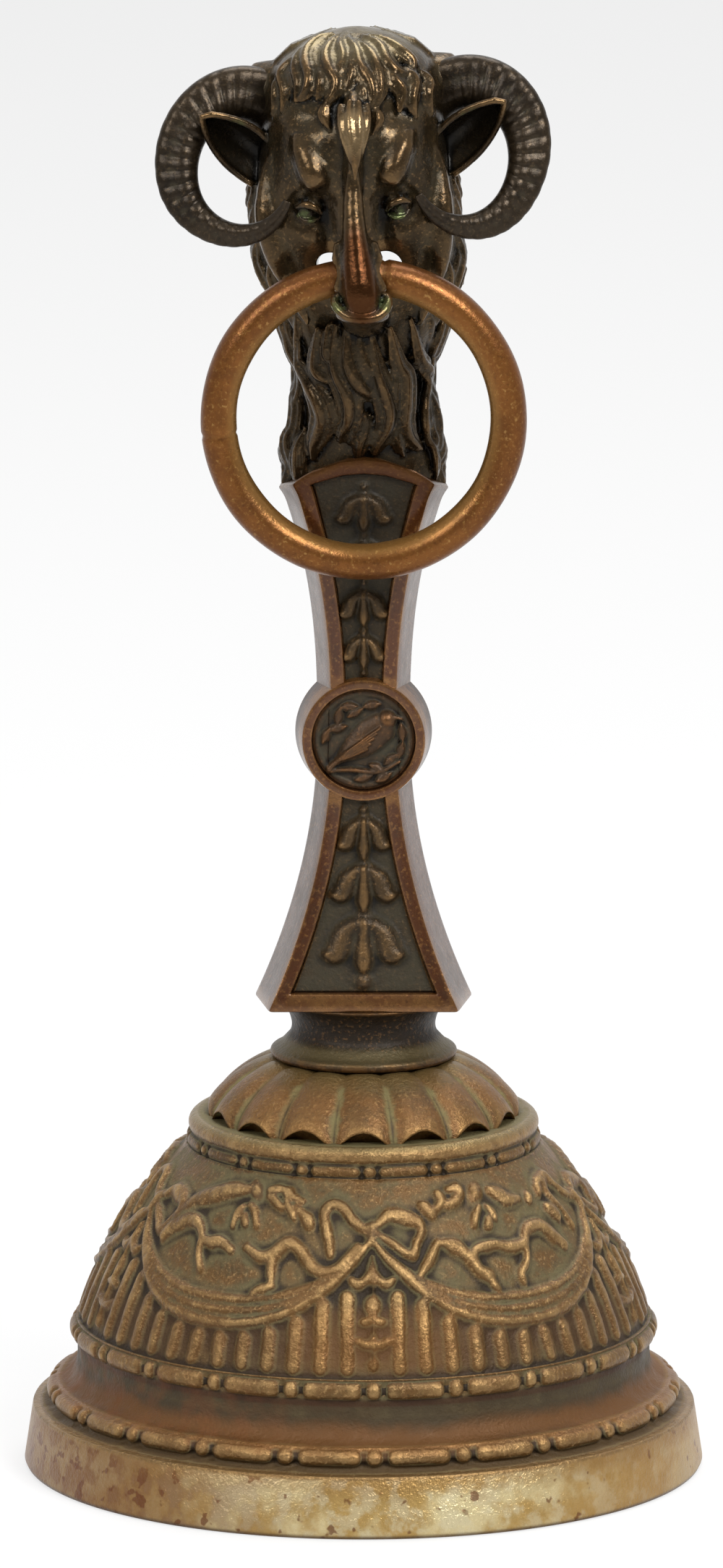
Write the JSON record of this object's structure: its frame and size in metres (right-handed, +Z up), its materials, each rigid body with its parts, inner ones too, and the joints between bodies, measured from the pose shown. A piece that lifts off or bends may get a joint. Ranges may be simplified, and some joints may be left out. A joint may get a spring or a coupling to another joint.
{
  "type": "service bell",
  "caption": "Cast bronze table bell with a garlanded cup, gadrooned crown, waisted handle ending in a horned ram's head, a free nose ring and a swinging clapper.",
  "frame": {"origin": "on the table under the bell's axis, at the rim's resting face", "axes": "+Z up along the bell's axis, -Y towards the front of the ram's face, +X to the viewer's right"},
  "size_m": [0.065, 0.065, 0.139],
  "materials": {
    "cup_bronze": "aged, brown patina with worn gold-brown high points and a pale worn rim",
    "dark_bronze": "very dark brown patina with glints on high points and green in recesses",
    "frame_bronze": "warm brown, polished by handling",
    "ring_bronze": "warm golden brown, semi-polished",
    "plain_brass": "dull",
    "steel": "dull, lightly oxidised"
  },
  "bodies": {
    "bell": {"bell_cup": "cup_bronze", "crown_cap": "cup_bronze", "neck_spool": "dark_bronze", "handle_shaft": "frame_bronze", "front_medallion": "dark_bronze", "rear_medallion": "dark_bronze", "front_upper_plaque": "dark_bronze", "front_lower_plaque": "dark_bronze", "rear_upper_plaque": "dark_bronze", "rear_lower_plaque": "dark_bronze", "ram_head": "dark_bronze", "left_horn": "dark_bronze", "right_horn": "dark_bronze", "horn_pins": "steel", "head_stud": "steel", "eye_bolt": "steel", "crown_washer": "plain_brass", "crown_nut": "plain_brass"},
    "ring": {"nose_ring": "ring_bronze"},
    "clapper": {"clapper_rod": "steel", "clapper_ball": "plain_brass"}
  },
  "joints": [
    {"name": "nose_ring_swing", "type": "hinge", "parent": "bell", "child": "ring", "pos_m": [0, -0.0104, 0.1168], "axis": [-1, 0, 0], "range_deg": [-6, 150]},
    {"name": "clapper_swing", "type": "hinge", "parent": "bell", "child": "clapper", "pos_m": [0, 0, 0.02635], "axis": [0, 1, 0], "range_deg": [-60.5, 60.5]}
  ]
}
